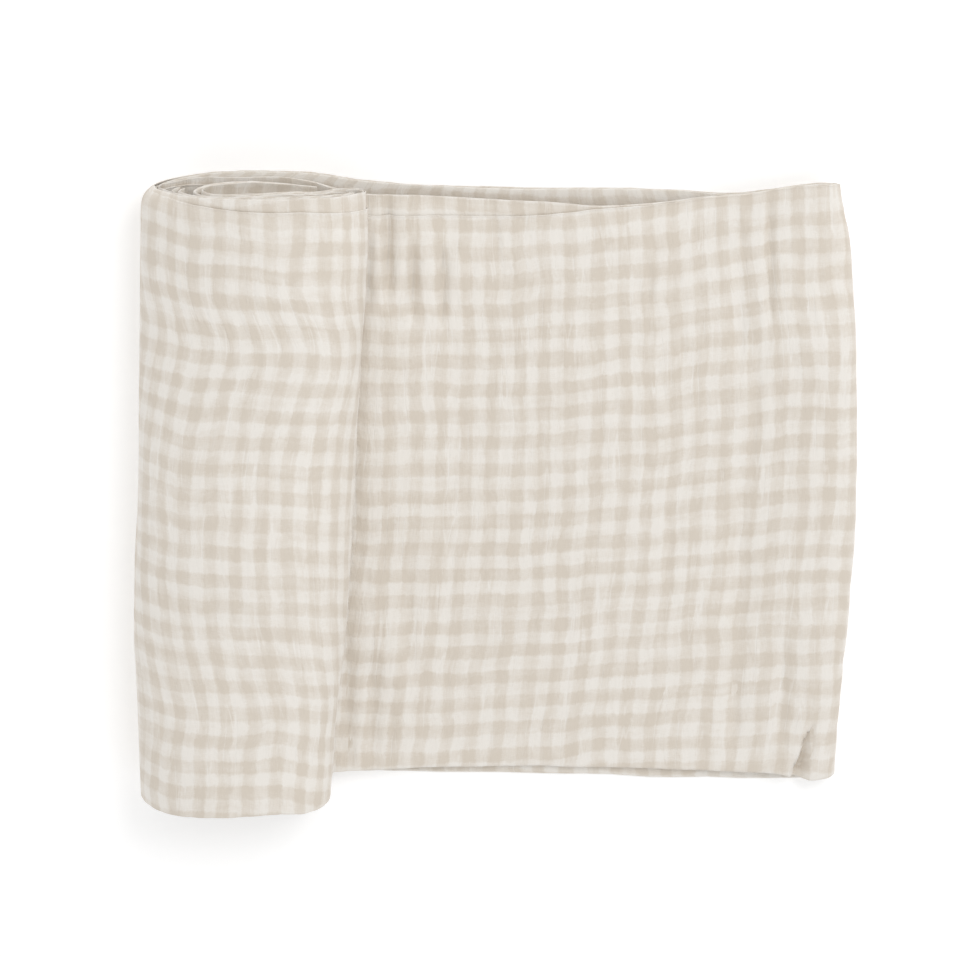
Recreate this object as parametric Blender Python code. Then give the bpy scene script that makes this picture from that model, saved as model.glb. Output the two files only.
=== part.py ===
"""A cotton swaddle blanket, folded into a long band and half rolled up.

The square cloth is folded twice along its length into a band of four plies, and the band is folded
end to end. That double band lies flat on the table with its fold at +X, and its two loose ends are
rolled together at -X. The lower run of the band passes under the roll, up its left side and over
its crest, and so it is the skin of the roll. The upper run follows inside it. Both ends turn back
into the roll as a flap.

The roll's axis is Y. The four plies' long folds close the band at -Y, and the plies are open at +Y,
where the outer ply's hem lies back from the others. All of it is one piece of cloth and one solid.
"""

import math
from collections import namedtuple

import bmesh
import bpy
from mathutils import Vector

MM = 0.001

# Driving sizes, in metres
BAND = 2.6 * MM  # four plies of double gauze, pressed together
OUTER_PLY = 0.9 * MM  # the share of that which the outer ply takes
ROLL_LEFT = -171 * MM  # the roll's section is drawn between these two sides
ROLL_RIGHT = -61 * MM
TAIL_EASE = 120 * MM  # the roll's own narrowing fades out over this much of the tail
FOLD_END = 174 * MM  # the end fold's section is drawn up to here
FOLD_EASE = 110 * MM  # and its bowed outline fades in over this much of the tail
FOLD_BULGE = 0.8 * MM  # how far a long fold rounds out past the plies
WAVE = 0.5 * MM  # the height of the cloth's slow unevenness
WAVE_CLEAR = 8 * MM  # which starts this far above the table, so that the underside stays flat
ACROSS = 12  # faces over the width of the band
FACE_LENGTHS = {  # along the band, after each place in the tables of bends
    "flap": 5.5 * MM,
    "skin": 5 * MM,
    "underside": 14 * MM,
    "end fold": 3 * MM,
    "tail": 6.5 * MM,
    "inner turn": 5.5 * MM,
}

COTTON = (0.72, 0.66, 0.58)  # the mean of the cream and beige checks
ROUGHNESS = 0.95

# The band's middle line in section, from its inner end. The heights are those at the open long
# side and at the folded one. The last three columns are in Y: where the plies' open edges lie, how
# far back from them the outer ply's hem lies, and where the long folds lie.
Bend = namedtuple("Bend", "place x height_open height_folded open_edge hem_back folded_edge")

LOWER_RUN = (
    Bend("flap", -85.0, 13.0, 13.0, 147.0, 5.0, -147.0),
    Bend("flap", -113.0, 13.2, 13.2, 149.4, 5.0, -147.0),
    Bend("flap", -134.0, 16.2, 16.4, 149.0, 5.0, -147.0),
    Bend("flap", -141.0, 25.0, 25.2, 148.6, 5.0, -147.0),
    Bend("flap", -135.4, 33.8, 34.0, 148.8, 5.0, -147.5),
    Bend("flap", -118.0, 37.6, 37.2, 149.4, 5.0, -148.0),
    Bend("flap", -98.8, 31.2, 30.4, 149.2, 5.0, -148.0),
    Bend("flap", -86.4, 20.6, 20.2, 146.5, 4.0, -147.0),
    Bend("skin", -75.0, 14.6, 14.4, 146.5, 3.5, -145.0),
    Bend("skin", -65.6, 17.6, 17.2, 147.5, 7.0, -145.5),
    Bend("skin", -61.9, 26.0, 25.5, 148.0, 8.0, -151.8),
    Bend("skin", -65.4, 39.0, 38.0, 150.0, 8.0, -152.4),
    Bend("skin", -75.0, 50.4, 49.6, 151.2, 7.4, -151.4),
    Bend("skin", -91.0, 56.2, 55.8, 151.7, 6.4, -149.5),
    Bend("skin", -110.0, 57.4, 57.6, 151.7, 6.0, -150.0),
    Bend("skin", -131.0, 53.8, 56.6, 151.4, 4.6, -150.9),
    Bend("skin", -149.0, 46.6, 51.2, 150.6, 2.6, -151.5),
    Bend("skin", -163.3, 36.4, 40.5, 150.6, 0.9, -151.6),
    Bend("skin", -169.7, 25.6, 27.5, 150.2, 0.4, -150.8),
    Bend("skin", -166.0, 14.0, 14.0, 150.0, 0.4, -150.0),
    Bend("skin", -154.0, 5.2, 4.8, 150.0, 0.6, -149.6),
    Bend("underside", -137.0, 1.3, 1.3, 151.2, 0.8, -149.2),
    Bend("underside", -116.0, 1.3, 1.3, 152.0, 0.8, -149.0),
    Bend("underside", -88.0, 1.3, 1.3, 151.5, 0.8, -148.2),
    Bend("underside", -67.0, 1.3, 1.3, 148.0, 1.0, -147.6),
    Bend("underside", -39.0, 1.3, 1.3, 145.4, 1.2, -147.6),
    Bend("underside", 5.0, 1.3, 1.3, 143.8, 1.5, -147.8),
    Bend("underside", 50.0, 1.3, 1.3, 143.7, 1.5, -149.2),
    Bend("underside", 90.0, 1.3, 1.3, 142.9, 1.0, -150.4),
    Bend("underside", 121.0, 1.3, 1.3, 141.2, 0.5, -151.0),
    Bend("end fold", 158.0, 1.3, 1.3, 145.6, 0.2, -151.0),
)
END_FOLD = (
    Bend("end fold", 168.5, 4.4, 3.8, 146.6, 0.1, -149.6),
    Bend("end fold", 172.7, 9.6, 7.6, 147.6, 0.1, -146.2),
    Bend("end fold", 169.3, 15.2, 11.8, 148.8, 0.1, -147.6),
)
UPPER_RUN = (
    Bend("tail", 158.0, 17.2, 13.0, 148.8, 0.2, -148.4),
    Bend("tail", 142.0, 15.4, 9.4, 147.0, 0.2, -145.8),
    Bend("tail", 123.0, 12.6, 6.6, 143.4, 0.2, -144.8),
    Bend("tail", 100.0, 10.6, 5.6, 141.5, 0.2, -143.8),
    Bend("tail", 76.0, 10.4, 5.4, 138.6, 0.3, -143.0),
    Bend("tail", 50.0, 11.2, 5.4, 137.4, 1.4, -142.8),
    Bend("tail", 24.0, 10.6, 5.4, 139.4, 6.0, -141.8),
    Bend("tail", -13.0, 9.6, 6.0, 140.9, 8.4, -143.0),
    Bend("tail", -39.0, 11.4, 8.4, 143.0, 9.8, -144.2),
    Bend("tail", -60.0, 12.0, 10.2, 143.9, 10.0, -145.4),
    Bend("inner turn", -75.0, 9.8, 9.2, 145.0, 9.0, -146.4),
    Bend("inner turn", -91.0, 6.4, 6.0, 148.4, 8.0, -147.4),
    Bend("inner turn", -108.0, 5.2, 5.2, 150.0, 7.0, -148.0),
    Bend("inner turn", -126.0, 5.3, 5.3, 149.8, 5.0, -148.2),
    Bend("inner turn", -143.0, 6.9, 6.9, 149.8, 3.0, -148.4),
    Bend("inner turn", -156.6, 14.2, 14.3, 149.2, 2.0, -148.6),
    Bend("inner turn", -164.2, 25.2, 26.8, 149.0, 1.5, -148.8),
    Bend("inner turn", -158.4, 33.2, 37.0, 149.2, 1.5, -149.0),
    Bend("inner turn", -146.0, 42.4, 46.6, 149.8, 2.5, -149.0),
    Bend("inner turn", -130.0, 48.8, 51.6, 150.4, 4.5, -149.0),
    Bend("inner turn", -111.0, 52.2, 52.6, 151.8, 6.0, -148.8),
    Bend("inner turn", -92.0, 51.0, 50.8, 151.6, 6.0, -148.2),
    Bend("inner turn", -78.6, 45.4, 44.8, 151.0, 6.0, -147.8),
    Bend("inner turn", -70.9, 38.2, 37.6, 149.6, 5.0, -147.2),
    Bend("inner turn", -67.6, 29.6, 29.2, 148.4, 4.0, -146.0),
    Bend("inner turn", -70.8, 22.8, 22.6, 146.6, 4.0, -145.6),
    Bend("flap", -76.6, 20.9, 20.7, 146.6, 4.0, -145.6),
    Bend("flap", -83.0, 25.6, 25.2, 146.8, 4.0, -146.0),
    Bend("flap", -92.5, 35.6, 34.8, 149.0, 4.0, -146.4),
    Bend("flap", -107.0, 43.2, 42.6, 150.6, 5.0, -146.8),
    Bend("flap", -126.0, 44.6, 45.8, 149.8, 5.0, -146.8),
    Bend("flap", -141.6, 39.0, 42.2, 149.2, 4.0, -146.8),
    Bend("flap", -151.6, 31.4, 33.8, 148.8, 3.0, -146.8),
    Bend("flap", -154.6, 24.4, 26.0, 148.6, 3.0, -146.8),
    Bend("flap", -149.6, 17.6, 18.0, 148.6, 3.0, -146.8),
)

# Where the roll's two sides lie along its length: it is wound tighter towards the folded side.
RollSide = namedtuple("RollSide", "y left right")
ROLL_SIDES = (
    RollSide(-152.0, -170.2, -78.5),
    RollSide(-142.0, -170.6, -77.3),
    RollSide(-111.0, -170.8, -75.0),
    RollSide(-71.0, -172.0, -70.6),
    RollSide(-43.0, -171.1, -68.4),
    RollSide(0.0, -168.6, -65.8),
    RollSide(60.0, -167.0, -62.4),
    RollSide(110.0, -165.8, -59.0),
    RollSide(136.0, -164.9, -58.2),
    RollSide(144.0, -164.4, -58.4),
    RollSide(152.0, -163.6, -58.8),
)

# Where the end fold reaches to: it bows out in the middle.
FoldSide = namedtuple("FoldSide", "y right")
FOLD_SIDES = (
    FoldSide(-152.0, 167.4),
    FoldSide(-110.0, 169.2),
    FoldSide(-68.0, 172.3),
    FoldSide(-20.0, 174.8),
    FoldSide(30.0, 174.6),
    FoldSide(80.0, 172.6),
    FoldSide(120.0, 169.0),
    FoldSide(152.0, 162.8),
)

# The soft creases that show on the upper run of the tail and down the roll.
Crease = namedtuple("Crease", "place x y length width depth")
CREASES = (
    Crease("beside the roll, open side", -43.0, 112.0, 52.0, 9.0, 1.3),
    Crease("beside the roll, folded side", -58.0, -118.0, 60.0, 14.0, 1.6),
    Crease("left of the middle", -21.0, 95.0, 34.0, 8.0, 0.9),
    Crease("right of the middle", 70.0, 92.0, 26.0, 8.0, 0.8),
    Crease("where the end fold starts", 131.0, 92.0, 66.0, 9.0, 1.4),
    Crease("long one before the end fold", 121.0, -50.0, 120.0, 10.0, 0.9),
    Crease("corner of the end fold", 150.0, -137.0, 26.0, 8.0, 2.2),
)
CREASE_LOWEST = 4 * MM  # creases are only in cloth that lies higher than this
CREASE_TALLEST = 22 * MM  # and lower than this, which leaves the roll out


def clear_scene():
    for obj in list(bpy.data.objects):
        bpy.data.objects.remove(obj, do_unlink=True)


def ease(value):
    """0 up to 0, 1 from 1, and a soft S between."""
    value = min(max(value, 0.0), 1.0)
    return value * value * (3 - 2 * value)


def catmull_rom(before, start, end, after, share):
    """One number between start and end, on a curve that also heeds its neighbours."""
    leaving = (end - before) / 2
    arriving = (after - start) / 2
    cubic = 2 * start - 2 * end + leaving + arriving
    square = -3 * start + 3 * end - 2 * leaving - arriving
    return ((cubic * share + square) * share + leaving) * share + start


def along(rows, index, share):
    """The row of numbers that lies this share of the way from one row to the next."""
    last = len(rows) - 1
    around = [rows[min(max(index + k, 0), last)] for k in (-1, 0, 1, 2)]
    return [catmull_rom(*numbers, share) for numbers in zip(*around)]


def at_y(rows, y):
    """A table's other columns at this y, on a smooth curve through its rows."""
    index = 0
    while index < len(rows) - 2 and y > rows[index + 1].y * MM:
        index += 1
    start, end = rows[index].y * MM, rows[index + 1].y * MM
    share = min(max((y - start) / (end - start), 0.0), 1.0)
    return [number * MM for number in along([row[1:] for row in rows], index, share)]


def band_line(rows):
    """Points along the band, a face's length apart. Each is x, the two heights and three edges."""
    numbers = [[value * MM for value in row[1:]] for row in rows]
    line = []
    for index in range(len(numbers) - 1):
        start, end = numbers[index], numbers[index + 1]
        apart = math.hypot(end[0] - start[0], end[1] - start[1])
        faces = max(1, round(apart / FACE_LENGTHS[rows[index].place]))
        line += [along(numbers, index, face / faces) for face in range(faces)]
    line.append(numbers[-1])
    return line


def narrowed(x, y):
    """x after the roll is drawn in between its sides and the end fold is bowed, at this y."""
    left, right = at_y(ROLL_SIDES, y)
    scale = (right - left) / (ROLL_RIGHT - ROLL_LEFT)
    if x <= ROLL_RIGHT:
        return left + (x - ROLL_LEFT) * scale
    fades = 1 - ease((x - ROLL_RIGHT) / TAIL_EASE)
    bowed = ease((x - FOLD_END + FOLD_EASE) / FOLD_EASE)
    reach = at_y(FOLD_SIDES, y)[0]
    return x + (right - ROLL_RIGHT) * fades + (reach - FOLD_END) * bowed


def crease_depth(x, y):
    """How deep the creases press the cloth in at this place."""
    depth = 0.0
    for crease in CREASES:
        off_line = (x - crease.x * MM) / (crease.width * MM / 2)
        off_middle = (y - crease.y * MM) / (crease.length * MM / 2)
        depth += crease.depth * MM * math.exp(-off_line**2 - off_middle**4)
    return depth


def settled(x, y, z):
    """The point as the cloth lies: drawn in, creased, a little uneven, and on the table."""
    placed = narrowed(x, y)
    if CREASE_LOWEST < z < CREASE_TALLEST and x > ROLL_RIGHT:
        z -= crease_depth(x, y) * ease((z - CREASE_LOWEST) / CREASE_LOWEST)
    uneven = math.sin(y / (23 * MM) + x / (31 * MM)) + 0.6 * math.sin(y / (14 * MM) - x / (40 * MM))
    z += WAVE * uneven * ease((z - WAVE_CLEAR) / WAVE_CLEAR)
    return Vector((placed, y, max(z, 0.0)))


def ring(line, index):
    """The points round the band's cross-section at one place along it."""
    x, height_open, height_folded, open_edge, hem_back, folded_edge = line[index]
    before = line[max(index - 1, 0)]
    after = line[min(index + 1, len(line) - 1)]
    run, rise = after[0] - before[0], (after[1] + after[2] - before[1] - before[2]) / 2
    length = math.hypot(run, rise)
    # The outer ply is on the side that faces the table in the lower run.
    outward = (rise / length, -run / length)

    def point(share, y, side):
        height = height_folded + (height_open - height_folded) * ease(share)
        reach = side * BAND / 2
        return settled(x + outward[0] * reach, y, height + outward[1] * reach)

    hem = open_edge - hem_back
    shares = [face / ACROSS for face in range(ACROSS + 1)]
    outer = [point(share, folded_edge + (hem - folded_edge) * share, 1) for share in shares]
    inner = [point(share, folded_edge + (open_edge - folded_edge) * share, -1) for share in shares]
    under_hem = 1 - 2 * OUTER_PLY / BAND
    step = [point(1, hem, under_hem), point(1, open_edge, under_hem)]
    long_fold = [point(0, folded_edge - FOLD_BULGE, 0)]
    return outer, step, inner, long_fold


def skin(mesh, rings):
    """Faces between each ring and the next, and a cap at each end of the band."""
    loops = []
    for outer, step, inner, long_fold in rings:
        points = outer + step + inner[::-1] + long_fold
        loops.append([mesh.verts.new(point) for point in points])
    count = len(loops[0])
    for loop, following in zip(loops, loops[1:]):
        for here in range(count):
            beside = (here + 1) % count
            mesh.faces.new((loop[here], loop[beside], following[beside], following[here]))
    for loop in (loops[0], loops[-1]):
        facing = loop[ACROSS + 3 : count - 1][::-1]
        for here in range(ACROSS):
            mesh.faces.new((loop[here], loop[here + 1], facing[here + 1], facing[here]))
        mesh.faces.new((loop[ACROSS], loop[ACROSS + 1], loop[ACROSS + 2], facing[ACROSS]))
        mesh.faces.new((loop[0], facing[0], loop[count - 1]))


def cotton():
    material = bpy.data.materials.new("cotton")
    material.use_nodes = True
    shader = material.node_tree.nodes["Principled BSDF"]
    shader.inputs["Base Color"].default_value = (*COTTON, 1)
    shader.inputs["Roughness"].default_value = ROUGHNESS
    shader.inputs["Metallic"].default_value = 0
    return material


def blanket(collection):
    line = band_line(LOWER_RUN + END_FOLD + UPPER_RUN)
    mesh = bmesh.new()
    skin(mesh, [ring(line, index) for index in range(len(line))])
    bmesh.ops.recalc_face_normals(mesh, faces=mesh.faces)
    lows = [min(vert.co[axis] for vert in mesh.verts) for axis in range(3)]
    highs = [max(vert.co[axis] for vert in mesh.verts) for axis in range(3)]
    to_origin = Vector((-(lows[0] + highs[0]) / 2, -(lows[1] + highs[1]) / 2, -lows[2]))
    bmesh.ops.translate(mesh, verts=mesh.verts, vec=to_origin)
    data = bpy.data.meshes.new("blanket")
    mesh.to_mesh(data)
    mesh.free()
    data.shade_smooth()
    data.materials.append(cotton())
    collection.objects.link(bpy.data.objects.new("blanket", data))


clear_scene()
swaddle_blanket = bpy.data.collections.new("swaddle blanket")
bpy.context.scene.collection.children.link(swaddle_blanket)
blanket(swaddle_blanket)
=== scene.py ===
# %% [markdown]
# # A gingham swaddle blanket, folded and half rolled
#
# A swaddle is a thin, light square of cotton double gauze, about 1.2 m a side. This one is folded
# twice along its length into a band of four plies. The band is doubled end to end, its fold is
# laid to the right, and its loose ends are rolled up together on the left.
#
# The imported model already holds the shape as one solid. This script dresses it: it lays one thin
# sheet through the same folds, with all four plies, hems and crinkles, and gives it a woven
# finish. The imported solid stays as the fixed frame, so nothing here needs fitting.

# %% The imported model
import math
from collections import namedtuple

import bpy
import numpy as np
from mathutils import Matrix, Vector


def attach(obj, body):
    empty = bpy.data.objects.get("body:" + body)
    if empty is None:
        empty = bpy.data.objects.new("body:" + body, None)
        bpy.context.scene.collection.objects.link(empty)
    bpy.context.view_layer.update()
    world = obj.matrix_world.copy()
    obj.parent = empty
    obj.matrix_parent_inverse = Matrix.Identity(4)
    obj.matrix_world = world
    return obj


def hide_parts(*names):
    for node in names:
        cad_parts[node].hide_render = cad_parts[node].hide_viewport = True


MM = 0.001

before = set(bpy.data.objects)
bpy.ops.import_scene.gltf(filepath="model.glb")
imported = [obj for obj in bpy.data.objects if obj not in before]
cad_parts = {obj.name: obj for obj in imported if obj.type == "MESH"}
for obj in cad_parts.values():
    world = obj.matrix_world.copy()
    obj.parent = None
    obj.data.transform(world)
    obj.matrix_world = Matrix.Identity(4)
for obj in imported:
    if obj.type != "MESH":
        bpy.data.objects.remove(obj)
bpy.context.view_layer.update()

# %% [markdown]
# ## Camera, light and floor
#
# The blanket lies flat and is seen from above. The camera leans 17 degrees towards the open side
# of the roll, and its picture is turned so that this side is at the top. That is a view which
# Blender's Track To constraint can't give, because it keeps the camera upright, so the three axes
# of the camera are written straight into its matrix.

# %% Camera
CAMERA_LEAN = math.radians(17)
CAMERA_DISTANCE = 2.4
LENS = 188.1  # with this sensor and 2.4 m, the picture is 459 mm wide at the table
SENSOR_WIDTH = 36
AIM = Vector((-8.2, 0.67, 0)) * MM

towards_camera = Vector((0, math.sin(CAMERA_LEAN), math.cos(CAMERA_LEAN)))
picture_up = Vector((0, math.cos(CAMERA_LEAN), -math.sin(CAMERA_LEAN)))
picture_right = Vector((1, 0, 0))
camera_data = bpy.data.cameras.new("camera")
camera_data.lens = LENS
camera_data.sensor_width = SENSOR_WIDTH
camera_data.clip_end = 50
camera = bpy.data.objects.new("camera", camera_data)
bpy.context.scene.collection.objects.link(camera)
turn = Matrix((picture_right, picture_up, towards_camera)).transposed().to_4x4()
camera.matrix_world = Matrix.Translation(AIM + towards_camera * CAMERA_DISTANCE) @ turn
bpy.context.scene.camera = camera
print("camera at", [round(number, 3) for number in camera.matrix_world.translation])

# %% [markdown]
# The light is a bright, nearly shadowless studio: a white room all round, which is the world's
# colour, and one big soft lamp from the upper right of the picture. It leaves a faint soft shadow
# on the left of the roll and below it. The floor glows a little, as a light table does, so it comes
# out plain white, and it lifts the sides of the roll.

# %% Light and floor
Lamp = namedtuple("Lamp", "name place size watts")
LAMPS = (
    Lamp("window", (0.62, 1.05, 1.48), 1.0, 9.3),
)
WORLD_LIGHT = 0.85
FLOOR_SIZE = 12
FLOOR_WHITE = (0.98, 0.98, 0.98, 1)
FLOOR_GLOW = 0.15


def add_lamp(lamp):
    data = bpy.data.lights.new(lamp.name, "AREA")
    data.shape = "DISK"
    data.size = lamp.size
    data.energy = lamp.watts
    lit = bpy.data.objects.new(lamp.name, data)
    bpy.context.scene.collection.objects.link(lit)
    lit.location = lamp.place
    lit.rotation_euler = (-Vector(lamp.place)).to_track_quat("-Z", "Y").to_euler()


for lamp in LAMPS:
    add_lamp(lamp)

world = bpy.data.worlds.new("white room")
bpy.context.scene.world = world
world.use_nodes = True
background = world.node_tree.nodes["Background"]
background.inputs["Color"].default_value = (1, 1, 1, 1)
background.inputs["Strength"].default_value = WORLD_LIGHT
bpy.context.scene.view_settings.view_transform = "Standard"

bpy.ops.object.select_all(action="DESELECT")
bpy.ops.mesh.primitive_plane_add(size=FLOOR_SIZE)
floor = bpy.context.object
floor.name = "floor"
paper = bpy.data.materials.new("white paper")
paper.use_nodes = True
paper_shader = paper.node_tree.nodes["Principled BSDF"]
paper_shader.inputs["Base Color"].default_value = FLOOR_WHITE
paper_shader.inputs["Roughness"].default_value = 0.9
paper_shader.inputs["Emission Color"].default_value = FLOOR_WHITE
paper_shader.inputs["Emission Strength"].default_value = FLOOR_GLOW
floor.data.materials.append(paper)
print(len(LAMPS), "lamp, a white world and a floor of", [round(s) for s in floor.dimensions], "m")

# %% [markdown]
# ## How the band is folded and rolled
#
# Seen from its end, the doubled band is one long line. It starts inside the roll, turns under it
# and up its right side, goes over the crest as the roll's skin, down the left side and along the
# table. At the right it folds back on itself, comes back over the tail, and goes into the roll
# inside the skin. The tables below hold that line in section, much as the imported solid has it.
# A line drawn by a table is easier to correct against a picture than a simulated one, which would
# settle where it likes.

# %% The band's middle line
# Heights are those at the open long side and at the folded one. The last three columns are in Y:
# where the plies' open edges lie, how far back from them the outer ply's hem lies, and where the
# long folds lie. The mesh is as fine as the kind of place needs.
Bend = namedtuple("Bend", "place x height_open height_folded open_edge hem_back folded_edge")

LOWER_RUN = (
    Bend("flap", -85.0, 13.0, 13.0, 147.0, 5.0, -147.0),
    Bend("flap", -113.0, 13.2, 13.2, 149.4, 5.0, -147.0),
    Bend("flap", -134.0, 16.2, 16.4, 149.0, 5.0, -147.0),
    Bend("flap", -141.0, 25.0, 25.2, 148.6, 5.0, -147.0),
    Bend("flap", -135.4, 34.0, 34.4, 148.8, 5.0, -147.5),
    Bend("flap", -118.0, 37.8, 37.6, 149.4, 5.0, -148.0),
    Bend("flap", -98.5, 31.4, 30.6, 149.2, 5.0, -148.0),
    Bend("flap", -86.0, 21.0, 20.5, 146.5, 4.0, -147.0),
    Bend("skin", -74.5, 14.8, 14.6, 146.5, 3.5, -145.0),
    Bend("skin", -65.6, 17.6, 17.2, 147.5, 7.0, -145.5),
    Bend("skin", -61.9, 26.0, 25.5, 148.0, 8.0, -151.8),
    Bend("skin", -65.4, 39.0, 38.0, 150.0, 8.0, -152.4),
    Bend("skin", -75.0, 50.4, 49.6, 151.2, 7.4, -151.4),
    Bend("skin", -91.0, 56.2, 55.8, 151.7, 6.4, -149.5),
    Bend("skin", -110.0, 57.4, 57.6, 151.7, 6.0, -150.0),
    Bend("skin", -131.0, 53.8, 56.6, 151.4, 4.6, -150.9),
    Bend("skin", -149.0, 46.6, 51.2, 150.6, 2.6, -151.5),
    Bend("skin", -163.3, 36.4, 40.5, 150.6, 0.9, -151.6),
    Bend("skin", -169.7, 25.6, 27.5, 150.2, 0.4, -150.8),
    Bend("skin", -166.0, 14.0, 14.0, 150.0, 0.4, -150.0),
    Bend("skin", -154.0, 5.2, 4.8, 150.0, 0.6, -149.6),
    Bend("underside", -137.0, 1.3, 1.3, 151.2, 0.8, -149.2),
    Bend("underside", -116.0, 1.3, 1.3, 152.0, 0.8, -149.0),
    Bend("underside", -88.0, 1.3, 1.3, 151.5, 0.8, -148.2),
    Bend("underside", -67.0, 1.3, 1.3, 148.0, 1.0, -147.6),
    Bend("underside", -39.0, 1.3, 1.3, 145.4, 1.2, -147.6),
    Bend("underside", 5.0, 1.3, 1.3, 143.8, 1.5, -147.8),
    Bend("underside", 50.0, 1.3, 1.3, 143.7, 1.5, -149.2),
    Bend("underside", 90.0, 1.3, 1.3, 142.9, 1.0, -150.4),
    Bend("underside", 121.0, 1.3, 1.3, 141.2, 0.5, -151.0),
    Bend("end fold", 158.0, 1.3, 1.3, 145.6, 0.2, -151.0),
)
END_FOLD = (
    Bend("end fold", 168.5, 4.4, 3.8, 146.6, 0.1, -149.6),
    Bend("end fold", 172.7, 9.6, 7.6, 147.6, 0.1, -146.2),
    Bend("end fold", 169.3, 15.2, 11.8, 148.8, 0.1, -147.6),
)
UPPER_RUN = (
    Bend("tail", 158.0, 17.2, 13.0, 148.8, 0.2, -148.4),
    Bend("tail", 142.0, 15.4, 9.4, 147.0, 0.2, -145.8),
    Bend("tail", 123.0, 12.6, 6.4, 143.4, 0.2, -146.0),
    Bend("tail", 100.0, 10.6, 5.4, 141.5, 0.2, -145.2),
    Bend("tail", 76.0, 10.4, 5.1, 138.6, 0.3, -144.6),
    Bend("tail", 50.0, 11.2, 5.0, 137.4, 1.4, -144.2),
    Bend("tail", 24.0, 10.6, 5.0, 139.4, 6.0, -143.2),
    Bend("tail", -13.0, 9.6, 5.8, 140.9, 8.4, -143.6),
    Bend("tail", -39.0, 13.2, 8.6, 143.0, 9.8, -144.2),
    Bend("tail", -60.0, 15.2, 10.6, 143.9, 10.0, -145.4),
    Bend("inner turn", -75.0, 10.2, 9.4, 145.0, 9.0, -146.4),
    Bend("inner turn", -91.0, 6.4, 6.0, 148.4, 8.0, -147.4),
    Bend("inner turn", -108.0, 5.0, 5.0, 150.0, 7.0, -148.0),
    Bend("inner turn", -126.0, 4.8, 4.8, 149.8, 5.0, -148.2),
    Bend("inner turn", -144.0, 5.8, 5.8, 149.8, 3.0, -148.4),
    Bend("inner turn", -159.2, 13.2, 13.4, 149.2, 2.0, -148.6),
    Bend("inner turn", -166.0, 25.2, 27.0, 149.0, 1.5, -148.8),
    Bend("inner turn", -160.6, 34.0, 38.0, 149.2, 1.5, -149.0),
    Bend("inner turn", -147.4, 43.4, 47.8, 149.8, 2.5, -149.0),
    Bend("inner turn", -130.4, 49.8, 52.4, 150.4, 4.5, -149.0),
    Bend("inner turn", -111.0, 52.6, 53.0, 151.8, 6.0, -148.8),
    Bend("inner turn", -92.5, 51.4, 51.2, 151.6, 6.0, -148.2),
    Bend("inner turn", -79.6, 45.8, 45.2, 151.0, 6.0, -147.8),
    Bend("inner turn", -71.6, 38.2, 37.6, 149.6, 5.0, -147.2),
    Bend("inner turn", -68.2, 29.6, 29.2, 148.4, 4.0, -146.0),
    Bend("inner turn", -70.8, 22.4, 22.2, 146.6, 4.0, -145.6),
    Bend("flap", -77.0, 20.4, 20.2, 146.6, 4.0, -145.6),
    Bend("flap", -83.0, 25.4, 25.0, 146.8, 4.0, -146.0),
    Bend("flap", -92.5, 35.6, 34.8, 149.0, 4.0, -146.4),
    Bend("flap", -107.0, 43.2, 42.6, 150.6, 5.0, -146.8),
    Bend("flap", -126.0, 45.0, 46.0, 149.8, 5.0, -146.8),
    Bend("flap", -143.0, 40.2, 43.0, 149.2, 4.0, -146.8),
    Bend("flap", -153.8, 32.4, 34.8, 148.8, 3.0, -146.8),
    Bend("flap", -156.6, 24.6, 26.0, 148.6, 3.0, -146.8),
    Bend("flap", -151.0, 17.0, 17.4, 148.6, 3.0, -146.8),
)
# Millimetres between two lines of the mesh, in each kind of place
LINE_STEPS = {
    "flap": 3.6,
    "skin": 1.5,
    "underside": 7.0,
    "end fold": 1.5,
    "tail": 1.4,
    "inner turn": 3.6,
}
SOFTENING = 2.5  # millimetres over which the line's corners are rounded
SAMPLES_PER_ROW = 120
FINE_STEP = 0.5  # millimetres between the points that the mesh's lines are picked from
MIDDLE = Vector((-1.52, 0.66, 0))  # from the tables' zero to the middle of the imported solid


def through_rows(rows, places):
    """Numbers on a smooth curve through a table's rows, at places counted in rows."""
    index = np.clip(places.astype(int), 0, len(rows) - 2)
    share = (places - index)[:, None]
    before, start = rows[np.maximum(index - 1, 0)], rows[index]
    end, after = rows[index + 1], rows[np.minimum(index + 2, len(rows) - 1)]
    leaving, arriving = (end - before) / 2, (after - start) / 2
    cubic = 2 * start - 2 * end + leaving + arriving
    square = -3 * start + 3 * end - 2 * leaving - arriving
    return ((cubic * share + square) * share + leaving) * share + start


def even_line(rows, step):
    """The table's numbers at points an even step apart, with rounded corners, and their rows."""
    places = np.linspace(0, len(rows) - 1, SAMPLES_PER_ROW * len(rows))
    curve = through_rows(rows, places)
    apart = np.hypot(np.diff(curve[:, 0]), np.diff(curve[:, 1:3].mean(1)))
    length = np.concatenate(([0], np.cumsum(apart)))
    even = np.arange(0, length[-1], step)
    curve = np.column_stack([np.interp(even, length, column) for column in curve.T])
    reach = np.arange(-3 * SOFTENING, 3 * SOFTENING + step, step)
    weights = np.exp(-((reach / SOFTENING) ** 2) / 2)
    weights /= weights.sum()
    half = len(weights) // 2
    padded = np.pad(curve, ((half, len(weights) - 1 - half), (0, 0)), mode="edge")
    smooth = np.column_stack([np.convolve(column, weights, "valid") for column in padded.T])
    return smooth, np.interp(even, length, places)


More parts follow.
